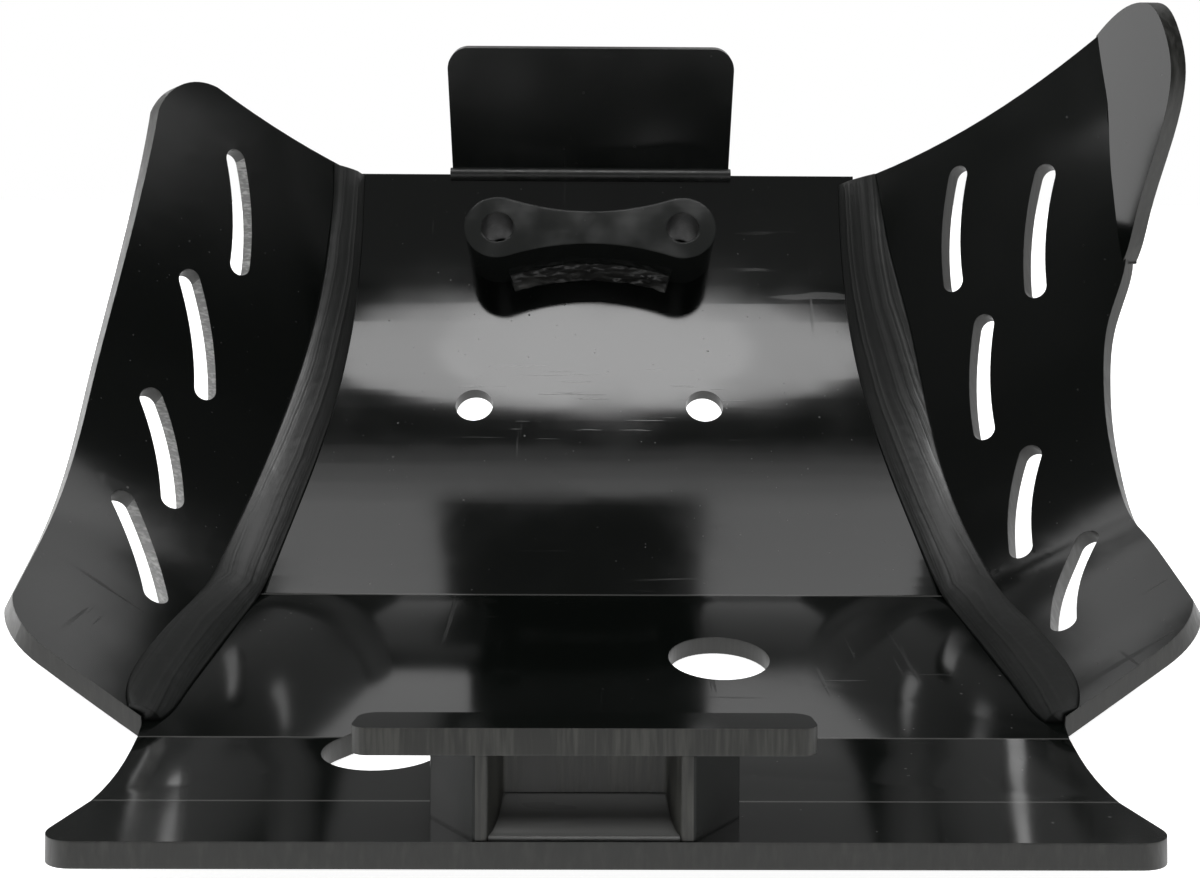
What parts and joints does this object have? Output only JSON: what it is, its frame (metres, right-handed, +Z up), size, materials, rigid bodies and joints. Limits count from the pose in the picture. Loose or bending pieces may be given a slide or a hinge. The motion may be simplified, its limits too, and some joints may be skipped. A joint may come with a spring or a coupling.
{
  "type": "motorcycle skid plate",
  "caption": "Black plastic engine guard: bent plate with splayed slotted side wings, bone-shaped bolt block, end tab and front hook, all plastic-welded",
  "frame": {"origin": "middle of the flat floor's underside, on the plate's centre line", "axes": "+X across to the right, +Y from the front lip to the rising end, +Z up"},
  "size_m": [0.4213, 0.3607, 0.233],
  "materials": {
    "sheet": "gloss",
    "block": "satin, machined",
    "weld": "smooth weld run"
  },
  "bodies": {
    "root": {"main_plate": "sheet", "left_wing": "sheet", "right_wing": "sheet", "left_wing_weld": "weld", "right_wing_weld": "weld", "end_tab": "sheet", "tab_weld": "weld", "mount_block": "block", "mount_block_weld": "weld", "hook_block": "block", "hook_bar": "sheet", "hook_weld_notch": "weld", "hook_weld_rear": "weld"}
  },
  "joints": []
}
